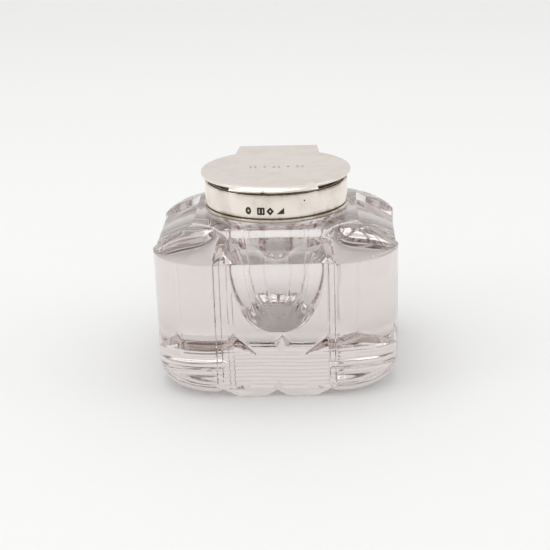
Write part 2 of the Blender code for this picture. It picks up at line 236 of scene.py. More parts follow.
@dataclass
class NodeSheet:
    """A node tree with short ways to add nodes and links."""

    tree: bpy.types.NodeTree

    def add(self, kind: str, **values: object) -> bpy.types.Node:
        """A new node; a value named after an input sets it, any other sets a property."""
        node = self.tree.nodes.new(kind)
        for name, value in values.items():
            label = name.replace("_", " ")
            if label in node.inputs:
                node.inputs[label].default_value = value
            else:
                setattr(node, name, value)
        return node

    def link(self, source: bpy.types.NodeSocket, target: bpy.types.NodeSocket) -> None:
        """Join an output to an input."""
        self.tree.links.new(source, target)

    def math(self, operation: str, a: object, b: object = 0.0) -> bpy.types.NodeSocket:
        """The result of a math node on two sockets or numbers."""
        node = self.add("ShaderNodeMath", operation=operation)
        for value, socket in zip((a, b), node.inputs):
            if isinstance(value, bpy.types.NodeSocket):
                self.link(value, socket)
            else:
                socket.default_value = value
        return node.outputs[0]

    def blend(self, mask: bpy.types.NodeSocket, a: object, b: object) -> bpy.types.NodeSocket:
        """The colour a where the mask is 0 and b where it is 1."""
        node = self.add("ShaderNodeMix", data_type="RGBA")
        self.link(mask, node.inputs["Factor"])
        for value, socket in ((a, node.inputs[6]), (b, node.inputs[7])):
            if isinstance(value, bpy.types.NodeSocket):
                self.link(value, socket)
            else:
                socket.default_value = (*value, 1.0)
        return node.outputs[2]

    def ramp(self, value: bpy.types.NodeSocket, low: float, high: float, out_low: float = 0.0,
             out_high: float = 1.0) -> bpy.types.NodeSocket:
        """A value carried smoothly from one range to another."""
        node = self.add("ShaderNodeMapRange", interpolation_type="SMOOTHSTEP")
        self.link(value, node.inputs["Value"])
        node.inputs["From Min"].default_value = low
        node.inputs["From Max"].default_value = high
        node.inputs["To Min"].default_value = out_low
        node.inputs["To Max"].default_value = out_high
        return node.outputs["Result"]


def new_group(name: str, inputs: dict[str, float],
              outputs: dict[str, str]) -> tuple[NodeSheet, bpy.types.Node, bpy.types.Node]:
    """An empty shader node group.

    Args:
        name: the group's name.
        inputs: each number input and its usual value.
        outputs: each output and its socket type.

    Returns:
        The sheet, its input node and its output node.
    """
    tree = bpy.data.node_groups.new(name, "ShaderNodeTree")
    for label, value in inputs.items():
        socket = tree.interface.new_socket(label, in_out="INPUT", socket_type="NodeSocketFloat")
        socket.default_value = value
    for label, kind in outputs.items():
        tree.interface.new_socket(label, in_out="OUTPUT", socket_type=kind)
    sheet = NodeSheet(tree)
    return sheet, sheet.add("NodeGroupInput"), sheet.add("NodeGroupOutput")


def scratches_group() -> bpy.types.NodeTree:
    """Fine polishing scratches that run in a few directions. Outputs Mask and Height."""
    outputs = {"Mask": "NodeSocketFloat", "Height": "NodeSocketFloat"}
    sheet, given, result = new_group("fine_scratches", {"Scale": 400.0, "Amount": 0.5}, outputs)
    place_node = sheet.add("ShaderNodeTexCoord")
    total = None
    for turn, stretch in ((0.35, 14.0), (1.25, 22.0), (2.3, 17.0)):
        mapping = sheet.add("ShaderNodeMapping")
        mapping.inputs["Rotation"].default_value = (turn * 0.3, turn * 0.2, turn)
        mapping.inputs["Scale"].default_value = (1.0, stretch, stretch)
        sheet.link(place_node.outputs["Object"], mapping.inputs["Vector"])
        grain = sheet.add("ShaderNodeTexNoise", Detail=2.0, Roughness=0.6)
        sheet.link(mapping.outputs["Vector"], grain.inputs["Vector"])
        sheet.link(given.outputs["Scale"], grain.inputs["Scale"])
        line = sheet.ramp(grain.outputs["Fac"], 0.62, 0.78)
        total = line if total is None else sheet.math("MAXIMUM", total, line)
    mask = sheet.math("MULTIPLY", total, given.outputs["Amount"])
    sheet.link(mask, result.inputs["Mask"])
    sheet.link(sheet.math("MULTIPLY", mask, -1.0), result.inputs["Height"])
    return sheet.tree


def tarnish_and_rim_shade_group() -> bpy.types.NodeTree:
    """Cloudy tarnish, plus painted shade near the Low and High heights, scaled by the rim input. Outputs
    Mask.
    """
    inputs = {"Scale": 120.0, "Amount": 0.3, "Low": 0.0, "High": 1.0, "Edge": 0.5}
    sheet, given, result = new_group("tarnish", inputs, {"Mask": "NodeSocketFloat"})
    place_node = sheet.add("ShaderNodeTexCoord")
    cloud = sheet.add("ShaderNodeTexNoise", Detail=6.0, Roughness=0.65)
    sheet.link(place_node.outputs["Object"], cloud.inputs["Vector"])
    sheet.link(given.outputs["Scale"], cloud.inputs["Scale"])
    patches = sheet.ramp(cloud.outputs["Fac"], 0.42, 0.72)
    split = sheet.add("ShaderNodeSeparateXYZ")
    sheet.link(place_node.outputs["Object"], split.inputs["Vector"])
    span = sheet.math("SUBTRACT", given.outputs["High"], given.outputs["Low"])
    height = sheet.math("DIVIDE", sheet.math("SUBTRACT", split.outputs["Z"], given.outputs["Low"]), span)
    # Painted shade: the mask grows near the Low and High heights, scaled by the rim input.
    from_middle = sheet.math("ABSOLUTE", sheet.math("SUBTRACT", height, 0.5))
    rim = sheet.ramp(from_middle, 0.36, 0.52)
    rim = sheet.math("MULTIPLY", rim, given.outputs["Edge"])
    both = sheet.math("ADD", sheet.math("MULTIPLY", patches, given.outputs["Amount"]),
                      sheet.math("MULTIPLY", rim, sheet.math("ADD", patches, 0.35)))
    sheet.link(sheet.math("MINIMUM", both, 1.0), result.inputs["Mask"])
    return sheet.tree


def waviness_group() -> bpy.types.NodeTree:
    """Slow waves of a hand-worked surface. Outputs Height."""
    sheet, given, result = new_group("waviness", {"Scale": 90.0, "Depth": 1.0}, {"Height": "NodeSocketFloat"})
    place_node = sheet.add("ShaderNodeTexCoord")
    waves = sheet.add("ShaderNodeTexNoise", Detail=1.5, Roughness=0.45)
    sheet.link(place_node.outputs["Object"], waves.inputs["Vector"])
    sheet.link(given.outputs["Scale"], waves.inputs["Scale"])
    sheet.link(sheet.math("MULTIPLY", waves.outputs["Fac"], given.outputs["Depth"]), result.inputs["Height"])
    return sheet.tree


@dataclass
class EffectShelf:
    """The node groups that more than one finish uses, each built once."""

    scratches: bpy.types.NodeTree = field(default_factory=scratches_group)
    tarnish: bpy.types.NodeTree = field(default_factory=tarnish_and_rim_shade_group)
    waviness: bpy.types.NodeTree = field(default_factory=waviness_group)

    def put(self, sheet: NodeSheet, tree: bpy.types.NodeTree, **values: float) -> bpy.types.Node:
        """Place a group in a material with its own values."""
        node = sheet.add("ShaderNodeGroup")
        node.node_tree = tree
        for label, value in values.items():
            node.inputs[label].default_value = value
        return node


def new_material(name: str) -> tuple[bpy.types.Material, NodeSheet, bpy.types.Node]:
    """A material with its node sheet and its Principled shader."""
    material = bpy.data.materials.new(name)
    material.use_nodes = True
    return material, NodeSheet(material.node_tree), material.node_tree.nodes["Principled BSDF"]


@dataclass(frozen=True)
class SilverFinish:
    """Old polished silver with scratches, waves and tarnish; its rim value paints shade near the Low and High
    heights.
    """

    name: str
    colour: tuple[float, float, float] = (0.87, 0.80, 0.735)
    tarnish_and_shade_colour: tuple[float, float, float] = (0.42, 0.34, 0.27)
    roughness: float = 0.16
    scratch_scale: float = 420.0
    scratches: float = 0.5
    tarnish: float = 0.25
    painted_rim_shade: float = 0.5
    low: float = 0.0
    high: float = 1.0
    wave_depth: float = 0.5

    def build(self, shelf: EffectShelf) -> bpy.types.Material:
        """Make the material.

        Args:
            shelf: the shared node groups.

        Returns:
            The finished material.
        """
        material, sheet, shader = new_material(self.name)
        scratch = shelf.put(sheet, shelf.scratches, Scale=self.scratch_scale, Amount=self.scratches)
        tarnish = shelf.put(sheet, shelf.tarnish, Amount=self.tarnish, Edge=self.painted_rim_shade,
                            Low=self.low, High=self.high)
        waves = shelf.put(sheet, shelf.waviness, Scale=85.0, Depth=self.wave_depth)
        # The tarnish mask's dark colour also carries the painted rim shade.
        colour = sheet.blend(tarnish.outputs["Mask"], self.colour, self.tarnish_and_shade_colour)
        sheet.link(colour, shader.inputs["Base Color"])
        rough = sheet.math("ADD", sheet.math("MULTIPLY", tarnish.outputs["Mask"], 0.3), self.roughness)
        rough = sheet.math("ADD", rough, sheet.math("MULTIPLY", scratch.outputs["Mask"], 0.12))
        sheet.link(rough, shader.inputs["Roughness"])
        shader.inputs["Metallic"].default_value = 1.0
        slow = sheet.add("ShaderNodeBump", Strength=0.25, Distance=0.4 * MM)
        sheet.link(waves.outputs["Height"], slow.inputs["Height"])
        fine = sheet.add("ShaderNodeBump", Strength=0.12, Distance=0.02 * MM)
        sheet.link(scratch.outputs["Height"], fine.inputs["Height"])
        sheet.link(slow.outputs["Normal"], fine.inputs["Normal"])
        sheet.link(fine.outputs["Normal"], shader.inputs["Normal"])
        return material


@dataclass(frozen=True)
class GlassFinish:
    """Thick old glass with a faint tint, seen through its own depth."""

    name: str
    surface: tuple[float, float, float] = (1.0, 0.998, 0.996)
    depth_colour: tuple[float, float, float] = (0.945, 0.929, 0.925)
    depth_density: float = 68.0
    ior: float = 1.5

    def build(self, shelf: EffectShelf) -> bpy.types.Material:
        """Make the material.

        Args:
            shelf: the shared node groups.

        Returns:
            The finished material.
        """
        material, sheet, shader = new_material(self.name)
        shader.inputs["Transmission Weight"].default_value = 1.0
        shader.inputs["Metallic"].default_value = 0.0
        shader.inputs["IOR"].default_value = self.ior
        shader.inputs["Base Color"].default_value = (*self.surface, 1.0)
        scratch = shelf.put(sheet, shelf.scratches, Scale=260.0, Amount=0.05)
        sheet.link(scratch.outputs["Mask"], shader.inputs["Roughness"])
        waves = shelf.put(sheet, shelf.waviness, Scale=140.0, Depth=0.6)
        bump = sheet.add("ShaderNodeBump", Strength=0.15, Distance=0.12 * MM)
        sheet.link(waves.outputs["Height"], bump.inputs["Height"])
        sheet.link(bump.outputs["Normal"], shader.inputs["Normal"])
        depth = sheet.add("ShaderNodeVolumeAbsorption")
        depth.inputs["Color"].default_value = (*self.depth_colour, 1.0)
        depth.inputs["Density"].default_value = self.depth_density
        sheet.link(depth.outputs["Volume"], material.node_tree.nodes["Material Output"].inputs["Volume"])
        return material


@dataclass(frozen=True)
class PlasterFinish:
    """Off-white mounting plaster, stained and grainy."""

    name: str
    colour: tuple[float, float, float] = (0.86, 0.83, 0.78)
    stain: tuple[float, float, float] = (0.62, 0.55, 0.46)

    def build(self, shelf: EffectShelf) -> bpy.types.Material:
        """Make the material.

        Args:
            shelf: the shared node groups.

        Returns:
            The finished material.
        """
        material, sheet, shader = new_material(self.name)
        tarnish = shelf.put(sheet, shelf.tarnish, Scale=600.0, Amount=0.8, Edge=0.0)
        colour = sheet.blend(tarnish.outputs["Mask"], self.colour, self.stain)
        sheet.link(colour, shader.inputs["Base Color"])
        shader.inputs["Roughness"].default_value = 0.9
        bump = sheet.add("ShaderNodeBump", Strength=0.5, Distance=0.1 * MM)
        sheet.link(tarnish.outputs["Mask"], bump.inputs["Height"])
        sheet.link(bump.outputs["Normal"], shader.inputs["Normal"])
        return material


# ------------------------------------------------------------------ glass block

@dataclass
class GlassBlock:
    """The cut-glass block: panels, corner lobes, shoulders, neck, well and star-cut foot."""

    material: bpy.types.Material
    panel_half: float = 13.9 * MM
    panel_recess: float = 0.6 * MM
    strip: float = 1.7 * MM
    taper: float = 0.3 * MM
    lobe_foot_r: float = 6.0 * MM
    panel_foot_height: float = 2.5 * MM
    panel_foot_inset: float = 1.2 * MM
    shoulder_z: float = 37.0 * MM
    ledge_z: float = 43.0 * MM
    panel_step: float = 1.9 * MM
    lobe_step: float = 0.3 * MM
    ledge_half: float = 22.0 * MM
    ledge_panel_half: float = 12.3 * MM
    ledge_pinch: float = 1.8 * MM
    lobe_bulge: float = 1.35 * MM
    bulge_start: float = 0.75
    bulge_sharpness: float = 0.5
    neck_r: float = 17.7 * MM
    ledge_draft: float = 0.08 * MM
    cove_width: float = 3.5 * MM
    cove_height: float = 1.0 * MM
    neck_middle_z: float = 46.0 * MM
    lip_round: float = 0.35 * MM
    mouth_r: float = 15.5 * MM
    mouth_step: float = 0.6 * MM
    mouth_step_depth: float = 1.6 * MM
    mouth_taper: float = 4.0 * MM
    well_r: float = 13.6 * MM
    well_middles_z: tuple[float, ...] = (42.0 * MM, 36.0 * MM)
    well_wall_z: float = 30.0 * MM
    well_floor_z: float = 11.4 * MM
    well_floor_r: float = 4.0 * MM
    bowl_narrowing: float = 1.15
    bowl_deepening: float = 1.1
    bowl_steps: int = 60
    ray_depth: float = 2.2 * MM
    ray_half_width: float = 3.0 * MM
    ray_start_r: float = 13.5 * MM
    ray_soft: float = 0.1 * MM
    base_wave: float = 0.03 * MM
    foot_chips: float = 0.06 * MM
    foot_chip_size: float = 0.9 * MM
    facet_half: float = 11.0 * MM
    facet_rise: float = 0.45 * MM
    wall_wave: float = 0.035 * MM
    wall_wave_size: float = 8.0 * MM
    bowl_dent: float = 0.17 * MM
    bowl_dent_size: float = 1.4 * MM
    bowl_dent_low: float = 0.5 * MM
    bowl_dent_high: float = 9.0 * MM
    bowl_dent_fade: float = 3.0 * MM
    edge_soft: float = 0.14 * MM
    edge_degrees: float = 15.0
    panel_steps: int = 60
    strip_run: tuple[float, ...] = (0.0, 0.14, 0.3, 0.7, 0.86)
    strip_rise: tuple[float, ...] = (0.0, 0.42, 0.47, 0.53, 0.58)
    lobe_steps: int = 60

    def __post_init__(self) -> None:
        """Take the block's width and height from the frame."""
        low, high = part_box("glass_body")
        self.half = (high.x - low.x) / 2
        self.top_z = high.z
        self.lobe_centre = self.panel_half + self.strip

    def outline(self, panel_half: float, front: float, lobe: np.ndarray) -> np.ndarray:
        """A whole plan outline. Each strip steps up at the panel's edge and again at the lobe's.

        Args:
            panel_half: half the width of each panel.
            front: distance from the axis to each panel.
            lobe: points of the front-right lobe, both ends included.

        Returns:
            Plan points of all four sides.
        """
        steps = np.linspace(-panel_half, panel_half, self.panel_steps, endpoint=False)
        panel = np.column_stack((steps, np.full(self.panel_steps, -front)))
        run = np.array(self.strip_run)
        rise = np.array(self.strip_rise)
        strip_in = np.column_stack((panel_half + (lobe[0][0] - panel_half) * run,
                                    -front + (lobe[0][1] + front) * rise))
        strip_out = np.column_stack((-strip_in[:, 1], -strip_in[:, 0]))[:0:-1]
        quarter = np.vstack((panel, strip_in, lobe, strip_out))
        sides = [quarter]
        for _ in range(3):
            last = sides[-1]
            sides.append(np.column_stack((-last[:, 1], last[:, 0])))
        return np.vstack(sides)

    def wall_outline(self, z: float) -> np.ndarray:
        """The walls' plan outline at height z."""
        half = self.half - self.taper * (1.0 - z / self.shoulder_z)
        pull = 0.0
        if z < self.lobe_foot_r:
            pull = self.lobe_foot_r - math.sqrt(self.lobe_foot_r ** 2 - (self.lobe_foot_r - z) ** 2)
        radius = half - self.lobe_centre - pull
        turns = np.radians(np.linspace(-90.0, 0.0, self.lobe_steps + 1))
        lobe = np.column_stack((self.lobe_centre + radius * np.cos(turns),
                                -self.lobe_centre + radius * np.sin(turns)))
        inset = self.panel_foot_inset * max(0.0, 1.0 - z / self.panel_foot_height)
        return self.outline(self.panel_half, half - self.panel_recess - inset, lobe)

    def ledge_outline(self) -> np.ndarray:
        """The plan outline of the ledge at the foot of the neck."""
        corner_x = self.ledge_panel_half + self.strip
        corner_r = math.hypot(corner_x, self.ledge_half)
        start = -math.atan2(self.ledge_half, corner_x)
        turns = np.linspace(start, -math.pi / 2 - start, self.lobe_steps + 1)
        radius = corner_r - self.ledge_pinch * np.sin(np.pi * np.linspace(0.0, 1.0, self.lobe_steps + 1))
        lobe = np.column_stack((radius * np.cos(turns), radius * np.sin(turns)))
        return self.outline(self.ledge_panel_half, self.ledge_half, lobe)

    def ledge_drops(self) -> np.ndarray:
        """How far each point of the shoulder's upper edge lies below the ledge's top."""
        strip = self.panel_step + (self.lobe_step - self.panel_step) * np.array(self.strip_run)
        lobe = np.full(self.lobe_steps + 1, self.lobe_step)
        panel = np.full(self.panel_steps, self.panel_step)
        return np.tile(np.concatenate((panel, strip, lobe, strip[:0:-1])), 4)

    def swell(self) -> np.ndarray:
        """How much each point of an outline shares in its lobe's swelling, from 0 to 1."""
        across = np.sin(np.pi * np.linspace(0.0, 1.0, self.lobe_steps + 1))
        share = across.clip(0.0, 1.0) ** self.bulge_sharpness
        strip = len(self.strip_run)
        quarter = np.concatenate((np.zeros(self.panel_steps + strip), share, np.zeros(strip - 1)))
        return np.tile(quarter, 4)

    def facets(self) -> np.ndarray:
        """How much each point of an outline shares in its shoulder's raised middle facet."""
        across = np.abs(np.linspace(-self.panel_half, self.panel_half, self.panel_steps, endpoint=False))
        share = ((self.panel_half - across) / (self.panel_half - self.facet_half)).clip(0.0, 1.0)
        rest = len(self.strip_run) * 2 + self.lobe_steps
        return np.tile(np.concatenate((share, np.zeros(rest))), 4)

    def star_height(self, points: np.ndarray) -> np.ndarray:
        """Height of the star cut's surface over each plan point, negative between the rays."""
        strip_ray = math.degrees(math.atan2(self.panel_half + self.strip / 2, self.half))
        rays = [90.0 * side + turn for side in range(4) for turn in (0.0, strip_ray, -strip_ray)]
        reach = self.half - self.ray_start_r
        slope = self.ray_depth / reach
        fall = self.ray_depth / self.ray_half_width
        highest = np.full(len(points), -1.0)
        for ray in np.radians(rays):
            along = points[:, 0] * math.cos(ray) + points[:, 1] * math.sin(ray) - self.ray_start_r
            across = np.abs(points[:, 1] * math.cos(ray) - points[:, 0] * math.sin(ray))
            height = np.where(along > 0.0, slope * along - fall * across, -1.0)
            highest = np.maximum(highest, height)
        return highest

    def raised(self, ring: np.ndarray) -> np.ndarray:
        """A ring lifted clear of the star cut, with a slightly rounded edge."""
        gap = ring[:, 2] - self.star_height(ring)
        near = np.clip(self.ray_soft - np.abs(gap), 0.0, None) ** 2 / (4.0 * self.ray_soft)
        lifted = ring.copy()
        lifted[:, 2] += np.clip(-gap, 0.0, None) + near
        return lifted

    def outer_rings(self) -> list[np.ndarray]:
        """Rings from the middle of the foot, out and up the walls, to the neck's top."""
        def at(plan: np.ndarray, z: object) -> np.ndarray:
            """A ring of these plan points at one height, or at one height for each."""
            return np.column_stack((plan, np.broadcast_to(z, len(plan))))

        rings = []
        foot = self.wall_outline(0.0)
        for share in np.linspace(0.02, 0.99, 60):
            plan = foot * share
            rings.append(self.raised(at(plan, self.base_waves(plan))))
        for turn in np.radians(np.linspace(0.0, 90.0, 19)):
            z = self.lobe_foot_r * (1.0 - math.cos(turn))
            rings.append(self.raised(at(self.wall_outline(z), z)))
        for z in np.linspace(self.lobe_foot_r, self.shoulder_z, 26)[1:]:
            rings.append(at(self.wall_outline(z), z))
        low = self.wall_outline(self.shoulder_z)
        high = self.ledge_outline()
        edge_z = self.ledge_z - self.ledge_drops()
        for t in np.linspace(0.0, 1.0, 25)[1:]:
            lobes = self.lobe_bulge * math.sin(math.pi * t ** self.bulge_start) * self.swell()
            panels = 4.0 * t * (1.0 - t) * self.facet_rise * self.facets()
            height = self.shoulder_z + (edge_z - self.shoulder_z) * t + lobes + panels
            rings.append(at(low * (1 - t) + high * t, height))
        outward = high / np.linalg.norm(high, axis=1)[:, None]
        for t in (0.5, 1.0):
            rings.append(at(high - outward * (self.ledge_draft * t), edge_z + (self.ledge_z - edge_z) * t))
        for x, z in arc((1.0, 1.0), 1.0, 262, 180, 10):
            radius = self.neck_r + self.cove_width * x
            rings.append(at(outward * radius, self.ledge_z + self.cove_height * z))
        for radius, z in self.bore_profile():
            rings.append(self.dented(at(outward * radius, z)))
        return rings

    def dented(self, ring: np.ndarray) -> np.ndarray:
        """A ring of the well with the small dents of its pressed bowl."""
        low, high = self.well_floor_z + self.bowl_dent_low, self.well_floor_z + self.bowl_dent_high
        if not low < ring[0][2] < high or math.hypot(ring[0][0], ring[0][1]) > self.well_r:
            return ring
        depth = self.bowl_dent * min(1.0, (high - ring[0][2]) / self.bowl_dent_fade)
        for point in ring:
            shift = noise.noise(Vector(point) / self.bowl_dent_size) * depth
            size = math.hypot(point[0], point[1])
            point[:2] *= 1.0 + shift / size
            point[2] += shift
        return ring

    def bore_profile(self) -> list[tuple[float, float]]:
        """(radius, height) points up the neck, over its lip and down the well to its floor."""
        lip = self.lip_round
        profile = [(self.neck_r, self.neck_middle_z), (self.neck_r, self.top_z - lip)]
        profile += arc((self.neck_r - lip, self.top_z - lip), lip, 22, 90, 3)
        profile += [(self.mouth_r + lip, self.top_z), (self.mouth_r, self.top_z - lip)]
        profile.append((self.mouth_r - self.mouth_step, self.top_z - self.mouth_step_depth))
        profile.append((self.well_r, self.top_z - self.mouth_taper))
        profile += [(self.well_r, z) for z in self.well_middles_z]
        for angle in np.radians(np.linspace(0.0, 90.0, self.bowl_steps + 1)):
            narrow = math.cos(angle) ** self.bowl_narrowing
            deep = math.sin(angle) ** self.bowl_deepening
            radius = self.well_floor_r + (self.well_r - self.well_floor_r) * narrow
            profile.append((radius, self.well_wall_z + (self.well_floor_z - self.well_wall_z) * deep))
        profile += [(self.well_floor_r * share, self.well_floor_z) for share in (0.7, 0.4, 0.1)]
        return profile

    def base_waves(self, plan: np.ndarray) -> np.ndarray:
        """Heights of the ground foot's slow waves: two trains that run from side to side and wander."""
        x, y = plan[:, 0] / MM, plan[:, 1] / MM
        short = np.sin(1.55 * y + 0.9 * np.sin(0.23 * x))
        long = 0.7 * np.sin(0.93 * y + 1.3 * np.sin(0.31 * x + 1.0))
        return self.base_wave * (1.7 + (short + long))

    def wavy(self, rings: list[np.ndarray]) -> list[np.ndarray]:
        """The rings with chips on the panels' feet and the slow unevenness of old glass on the walls."""
        for ring in rings:
            if ring[0][2] < self.panel_foot_height * 1.2 and abs(ring[0][1]) > self.half * 0.9:
                self.chipped(ring)
                continue
            if not self.lobe_foot_r < ring[0][2] < self.shoulder_z - MM or abs(ring[0][0]) < self.well_r / 2:
                continue
            for point in ring:
                where = Vector(point) / self.wall_wave_size
                outward = Vector((point[0], point[1], 0.0)).normalized()
                shift = noise.noise(where) * self.wall_wave
                point[0] += outward.x * shift
                point[1] += outward.y * shift
        return rings

    def chipped(self, ring: np.ndarray) -> None:
        """Give a ring of the foot, under the panels, the small chips of its rough ground edge."""
        for point in ring:
            if min(abs(point[0]), abs(point[1])) > self.lobe_centre:
                continue
            shift = noise.noise(Vector(point) / self.foot_chip_size) * self.foot_chips
            point[:2] *= 1.0 - abs(shift) / math.hypot(point[0], point[1])
            point[2] += abs(shift) * 0.5

    def build(self) -> None:
        """Make the block and put it on the base."""
        mesh = ring_mesh("glass_block", self.wavy(self.outer_rings()))
        obj = add_piece("glass_block", mesh, self.material)
        soften_edges(obj, self.edge_soft, self.edge_degrees)
        place(obj, Body.BASE, Slot.GLASS, "glass_body")


# ------------------------------------------------------------------ collar

@dataclass
class Collar:
    """The silver band with its punch marks, the foot bead, the seat ring and the plaster."""

    silver: bpy.types.Material
    inside: bpy.types.Material
    recess: bpy.types.Material
    plaster: bpy.types.Material
    wall: float = 0.8 * MM
    segments: int = 256
    mark_depth: float = 0.14 * MM
    mark_height: float = 2.05 * MM
    mark_places: tuple[float, ...] = (-6.7 * MM, -3.4 * MM, -0.95 * MM, 1.7 * MM)
    mark_z: float = 47.35 * MM
    pit_x: float = 8.0 * MM
    pit_z: float = 49.7 * MM
    pit_r: float = 0.22 * MM
    pit_depth: float = 0.08 * MM
    seat_inner: float = 15.0 * MM
    seat_round: float = 0.18 * MM
    plaster_inner: float = 18.0 * MM
    plaster_round: float = 0.1 * MM

    def band(self) -> None:
        """The upright band, with its rolled top edge and four plain punch marks."""
        low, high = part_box("collar_band")
        outer = high.x
        inner = outer - self.wall
        profile = [(outer, low.z + 0.1 * MM), (outer, (low.z + high.z) / 2), (outer, high.z - 0.3 * MM)]
        profile += arc((outer - 0.3 * MM, high.z - 0.3 * MM), 0.3 * MM, 20, 90, 5)
        profile += [(inner + 0.15 * MM, high.z), (inner, high.z - 0.15 * MM)]
        profile += [(inner, low.z), (outer - 0.1 * MM, low.z)]
        mesh = ring_mesh("silver_band", turned_rings(profile, self.segments), wrap=True)
        obj = add_piece("silver_band", mesh, self.silver)
        carve(obj, self.mark_cutters(outer))
        obj.data.set_sharp_from_angle(angle=math.radians(35))
        place(obj, Body.BASE, Slot.SILVER, "collar_band")

    def mark_outlines(self) -> list[list[list[tuple[float, float]]]]:
        """The four marks' outlines: a frame, then the shapes left standing inside it."""
        half = self.mark_height / 2
        oval = [(x * 0.8, y) for x, y in arc((0, 0), half, 0, 345, 23)]
        dot = arc((0, 0), half * 0.22, 0, 330, 11)
        box = rounded([(-half, -half), (half, -half), (half, half), (-half, half)], 0.3 * MM)
        bars = []
        for side in (-1, 1):
            middle = side * half * 0.42
            bars.append([(middle - 0.09 * MM, -half * 0.5), (middle + 0.09 * MM, -half * 0.5),
                         (middle + 0.09 * MM, half * 0.5), (middle - 0.09 * MM, half * 0.5)])
        lozenge = rounded([(0, -half * 1.1), (half, 0), (0, half * 1.1), (-half, 0)], 0.15 * MM)
        small = [(x * 0.27, y * 0.27) for x, y in lozenge]
        wedge = rounded([(-half, -half * 0.8), (half, -half * 0.8), (half, half * 0.9)], 0.2 * MM)
        return [[oval, dot], [box, *bars], [lozenge, small], [wedge]]

    def mark_cutters(self, outer: float) -> list[bpy.types.Object]:
        """Shapes that sink the marks into the band's front."""
        cutters = []
        marks = zip(self.mark_places, self.mark_outlines())
        for number, (x, (frame_line, *islands)) in enumerate(marks):
            angle = math.asin(x / outer)
            turn = Matrix.Rotation(angle, 4, "Z")
            stand = Matrix.Rotation(math.radians(90), 4, "X")
            spot = turn @ Matrix.Translation((0.0, -outer, self.mark_z)) @ stand
            cutter = add_piece(f"mark_{number}", prism("mark", frame_line, -self.mark_depth, MM), self.recess)
            posts = []
            for island in islands:
                post = prism("post", island, -MM, self.mark_depth * -0.35)
                posts.append(add_piece("post", post, self.silver))
            if posts:
                carve(cutter, posts)
            cutter.data.transform(spot)
            cutters.append(cutter)
        cutters.append(self.pit_cutter(outer))
        return cutters

    def pit_cutter(self, outer: float) -> bpy.types.Object:
        """A shape that leaves one small dark pit to the right of the marks."""
        turn = Matrix.Rotation(math.asin(self.pit_x / outer), 4, "Z")
        stand = Matrix.Rotation(math.radians(90), 4, "X")
        circle = arc((0, 0), self.pit_r, 0, 330, 11)
        cutter = add_piece("pit", prism("pit", circle, -self.pit_depth, MM), self.recess)
        cutter.data.transform(turn @ Matrix.Translation((0.0, -outer, self.pit_z)) @ stand)
        return cutter

    def bead(self) -> None:
        """The half-round foot bead under the band."""
        low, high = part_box("collar_foot_bead")
        half = (high.z - low.z) / 2
        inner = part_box("collar_band")[1].x - self.wall
        profile = [(inner, low.z)] + arc((high.x - half, low.z + half), half, -90, 90, 12) + [(inner, high.z)]
        mesh = ring_mesh("foot_bead", turned_rings(profile, self.segments), wrap=True)
        obj = add_piece("foot_bead", mesh, self.silver)
        obj.data.set_sharp_from_angle(angle=math.radians(50))
        place(obj, Body.BASE, Slot.SILVER, "collar_foot_bead")

    def seat(self) -> None:
        """The flat ring over the neck's top."""
        low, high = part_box("collar_seat_ring")
        corners = [(high.x, low.z), (high.x, high.z), (self.seat_inner, high.z), (self.seat_inner, low.z)]
        profile = rounded(corners, self.seat_round)
        mesh = ring_mesh("seat_ring", turned_rings(profile, self.segments), wrap=True)
        place(add_piece("seat_ring", mesh, self.inside), Body.BASE, Slot.SILVER_INSIDE, "collar_seat_ring")

    def cement(self) -> None:
        """The plaster between the neck and the band."""
        low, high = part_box("neck_cement")
        inner = self.plaster_inner
        corners = [(high.x, low.z), (high.x, high.z), (inner, high.z), (inner, low.z)]
        rings = turned_rings(rounded(corners, self.plaster_round, 2), self.segments // 2)
        mesh = ring_mesh("plaster_fill", rings, wrap=True)
        place(add_piece("plaster_fill", mesh, self.plaster), Body.BASE, Slot.PLASTER, "neck_cement")

    def build(self) -> None:
        """Make the collar's pieces."""
        self.band()
        self.bead()
        self.seat()
        self.cement()


# ------------------------------------------------------------------ hinge

@dataclass
class Hinge:
    """The bracket, the five knuckles and the pin."""

    silver: bpy.types.Material
    bore_r: float = 0.62 * MM

    def knuckle(self, node: str, body: Body) -> None:
        """One barrel of the hinge, rounded at its rims.

        Args:
            node: the frame's node that it stands for.
            body: the body it rides on.
        """
        low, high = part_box(node)
        radius = (high.z - low.z) / 2
        corners = [(radius, low.x), (radius, high.x), (self.bore_r, high.x), (self.bore_r, low.x)]
        mesh = ring_mesh(node, turned_rings(rounded(corners, 0.15 * MM), 64), wrap=True)
        mesh.transform(Matrix.Rotation(math.pi / 2, 4, "Y"))
        mesh.transform(Matrix.Translation((0.0, (low.y + high.y) / 2, (low.z + high.z) / 2)))
        obj = add_piece(node.replace("knuckle", "barrel"), mesh, self.silver)
        place(obj, body, Slot.SILVER, node)

    def pin(self) -> None:
        """The pin, with slightly domed riveted ends."""
        low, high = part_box("hinge_pin")
        radius = (high.z - low.z) / 2
        dome = 0.3 * radius
        rings = []
        for share in np.radians(np.linspace(8, 90, 6)):
            rings.append((radius * math.sin(share), low.x + dome * (1 - math.sin(share))))
        rings += [(r, -x) for r, x in reversed(rings)]
        mesh = ring_mesh("pin", turned_rings(rings, 48))
        mesh.transform(Matrix.Rotation(math.pi / 2, 4, "Y"))
        mesh.transform(Matrix.Translation((0.0, (low.y + high.y) / 2, (low.z + high.z) / 2)))
        obj = add_piece("rivet_pin", mesh, self.silver)
        obj.data.set_sharp_from_angle(angle=math.radians(50))
        place(obj, Body.BASE, Slot.SILVER, "hinge_pin")

    def bracket(self) -> None:
        """The wedge behind the band keeps its node's shape and takes the silver."""
        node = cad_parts["hinge_bracket"]
        node.data.materials.clear()
        node.data.materials.append(self.silver)

    def build(self) -> None:
        """Make the hinge's pieces."""
        self.bracket()
        self.pin()
        for number in (1, 2, 3):
            self.knuckle(f"collar_knuckle_{number}", Body.BASE)
        for number in (1, 2):
            self.knuckle(f"lid_knuckle_{number}", Body.LID)


# ------------------------------------------------------------------ lid

